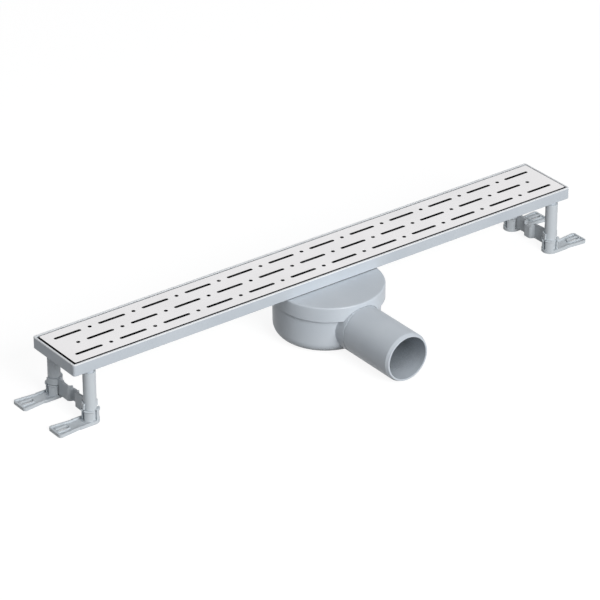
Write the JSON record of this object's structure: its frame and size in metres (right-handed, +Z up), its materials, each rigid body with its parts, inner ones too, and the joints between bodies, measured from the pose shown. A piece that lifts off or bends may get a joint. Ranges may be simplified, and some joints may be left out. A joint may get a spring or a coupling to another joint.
{
  "type": "linear shower drain",
  "caption": "Long slotted shower drain with a low round trap, a side outlet pipe and screw-down feet on short legs.",
  "frame": {"origin": "on the floor at the centre of the foot slots, under the middle of the channel", "axes": "+X along the channel, +Z up, the outlet pipe points along -Y"},
  "size_m": [0.6482, 0.1921, 0.068],
  "materials": {
    "channel_plastic": "satin pale blue grey",
    "grate_steel": "fine brushed stainless",
    "trap_plastic": "satin blue grey",
    "leg_plastic": "satin pale grey",
    "inner_plastic": "satin white grey",
    "seal_rubber": "matt black"
  },
  "bodies": {
    "root": {"channel_body": "channel_plastic", "grate": "grate_steel", "grate_pads": "seal_rubber", "trap_cover": "trap_plastic", "trap_bowl": "trap_plastic", "waste_flange": "inner_plastic", "inlet_seal": "seal_rubber", "odour_insert": "inner_plastic", "insert_seal": "seal_rubber", "hair_strainer": "inner_plastic", "cross_link_left": "leg_plastic", "cross_link_right": "leg_plastic", "leg_front_left": "leg_plastic", "foot_front_left": "leg_plastic", "leg_front_right": "leg_plastic", "foot_front_right": "leg_plastic", "leg_back_left": "leg_plastic", "foot_back_left": "leg_plastic", "leg_back_right": "leg_plastic", "foot_back_right": "leg_plastic"}
  },
  "joints": []
}
